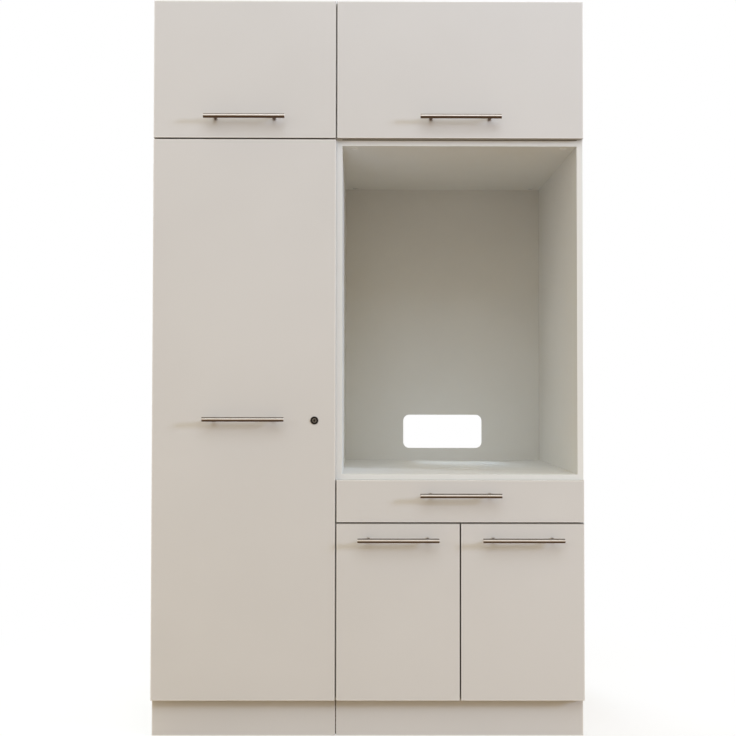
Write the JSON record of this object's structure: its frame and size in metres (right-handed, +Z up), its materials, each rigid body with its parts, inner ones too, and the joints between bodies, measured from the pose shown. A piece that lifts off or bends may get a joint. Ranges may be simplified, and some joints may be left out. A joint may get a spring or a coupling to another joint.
{
  "type": "multipurpose cabinet",
  "caption": "Tall cabinet of joined columns: a lockable cupboard, an appliance niche over a drawer and small doors, and lift-up flaps on top.",
  "frame": {"origin": "centre of the whole cabinet's footprint, handles included, on the floor", "axes": "+Z up, -Y out of the fronts towards the user, +X to the user's right"},
  "size_m": [1.175, 0.71, 2.004],
  "materials": {
    "white_board": "white melamine-faced chipboard, satin",
    "front_board": "light warm grey lacquer-like melamine, satin",
    "hardboard": "white-faced thin hardboard",
    "stainless_bar": "brushed stainless steel",
    "nickel_steel": "nickel-plated steel",
    "zinc_runner": "bright zinc-plated steel",
    "dark_lock": "dark bronzed zinc, satin",
    "lock_face": "nickel-plated key face",
    "black_tube": "black enamel, gloss",
    "white_plastic": "white cover caps",
    "clear_pad": "soft translucent pad"
  },
  "bodies": {
    "root": {"tall_side_left": "white_board", "tall_side_right": "white_board", "wide_side_left": "white_board", "wide_side_right": "white_board", "tall_bottom": "white_board", "tall_top": "white_board", "tall_fixed_shelf": "white_board", "wide_bottom": "white_board", "niche_floor": "white_board", "niche_ceiling": "white_board", "drawer_rail": "white_board", "adjustable_shelves": "white_board", "upper_sides": "white_board", "upper_bottoms": "white_board", "upper_tops": "white_board", "plinth_boards": "front_board", "tall_backs": "hardboard", "wide_lower_back": "hardboard", "niche_back": "hardboard", "upper_backs": "hardboard", "hinge_arms": "nickel_steel", "hinge_plates": "nickel_steel", "lock_keeper": "nickel_steel", "strut_foot_brackets": "nickel_steel", "unit_connectors": "nickel_steel", "wall_brackets": "nickel_steel", "shelf_pins": "nickel_steel", "runner_channels": "zinc_runner", "cam_caps": "white_plastic", "door_buffers": "clear_pad"},
    "tall_door": {"tall_door": "front_board", "tall_door_handle": "stainless_bar", "tall_door_hinge_cups": "nickel_steel", "lock_housing": "dark_lock", "lock_nut": "nickel_steel"},
    "lock": {"lock_plug": "lock_face", "lock_cam": "nickel_steel"},
    "left_door": {"left_door": "front_board", "left_door_handle": "stainless_bar", "left_door_hinge_cups": "nickel_steel"},
    "right_door": {"right_door": "front_board", "right_door_handle": "stainless_bar", "right_door_hinge_cups": "nickel_steel"},
    "drawer": {"drawer_front": "front_board", "drawer_handle": "stainless_bar", "drawer_sides": "white_board", "drawer_back": "white_board", "drawer_base": "hardboard", "runner_rails": "zinc_runner"},
    "drawer_runners": {"runner_middles": "zinc_runner"},
    "left_flap": {"left_flap": "front_board", "left_flap_handle": "stainless_bar", "left_flap_fittings": "nickel_steel"},
    "left_rods": {"left_strut_rods": "nickel_steel"},
    "left_tubes": {"left_strut_tubes": "black_tube"},
    "right_flap": {"right_flap": "front_board", "right_flap_handle": "stainless_bar", "right_flap_fittings": "nickel_steel"},
    "right_rods": {"right_strut_rods": "nickel_steel"},
    "right_tubes": {"right_strut_tubes": "black_tube"}
  },
  "joints": [
    {"name": "tall_door_hinge", "type": "hinge", "parent": "root", "child": "tall_door", "pos_m": [-0.58, -0.3142, 0.863], "axis": [0, 0, -1], "range_deg": [0, 95]},
    {"name": "lock_turn", "type": "hinge", "parent": "tall_door", "child": "lock", "pos_m": [-0.146, -0.32, 0.858], "axis": [0, -1, 0], "range_deg": [0, 90]},
    {"name": "left_door_hinge", "type": "hinge", "parent": "root", "child": "left_door", "pos_m": [-0.08, -0.3142, 0.341], "axis": [0, 0, -1], "range_deg": [0, 95]},
    {"name": "right_door_hinge", "type": "hinge", "parent": "root", "child": "right_door", "pos_m": [0.58, -0.3142, 0.341], "axis": [0, 0, 1], "range_deg": [0, 95]},
    {"name": "drawer_slide", "type": "slide", "parent": "root", "child": "drawer", "axis": [0, -1, 0], "range_m": [0, 0.45]},
    {"name": "runner_slide", "type": "slide", "parent": "root", "child": "drawer_runners", "axis": [0, -1, 0], "range_m": [0, 0.225]},
    {"name": "left_flap_hinge", "type": "hinge", "parent": "root", "child": "left_flap", "pos_m": [-0.3375, -0.3142, 1.998], "axis": [-1, 0, 0], "range_deg": [0, 90]},
    {"name": "left_strut_swivel", "type": "hinge", "parent": "left_flap", "child": "left_rods", "pos_m": [-0.3375, -0.294, 1.948], "axis": [1, 0, 0], "range_deg": [0, 93.61]},
    {"name": "left_strut_slide", "type": "slide", "parent": "left_rods", "child": "left_tubes", "axis": [0, 0.8214, -0.5704], "range_m": [0, 0.07524]},
    {"name": "right_flap_hinge", "type": "hinge", "parent": "root", "child": "right_flap", "pos_m": [0.25, -0.3142, 1.998], "axis": [-1, 0, 0], "range_deg": [0, 90]},
    {"name": "right_strut_swivel", "type": "hinge", "parent": "right_flap", "child": "right_rods", "pos_m": [0.25, -0.294, 1.948], "axis": [1, 0, 0], "range_deg": [0, 93.61]},
    {"name": "right_strut_slide", "type": "slide", "parent": "right_rods", "child": "right_tubes", "axis": [0, 0.8214, -0.5704], "range_m": [0, 0.07524]}
  ],
  "couplings": [
    {"joint": "runner_slide", "follows": "drawer_slide", "ratio": 0.5},
    {"joint": "left_strut_swivel", "follows": "left_flap_hinge", "ratio": 1.0396},
    {"joint": "left_strut_slide", "follows": "left_flap_hinge", "m_per_rad": 0.047837},
    {"joint": "right_strut_swivel", "follows": "right_flap_hinge", "ratio": 1.0396},
    {"joint": "right_strut_slide", "follows": "right_flap_hinge", "m_per_rad": 0.047837}
  ]
}
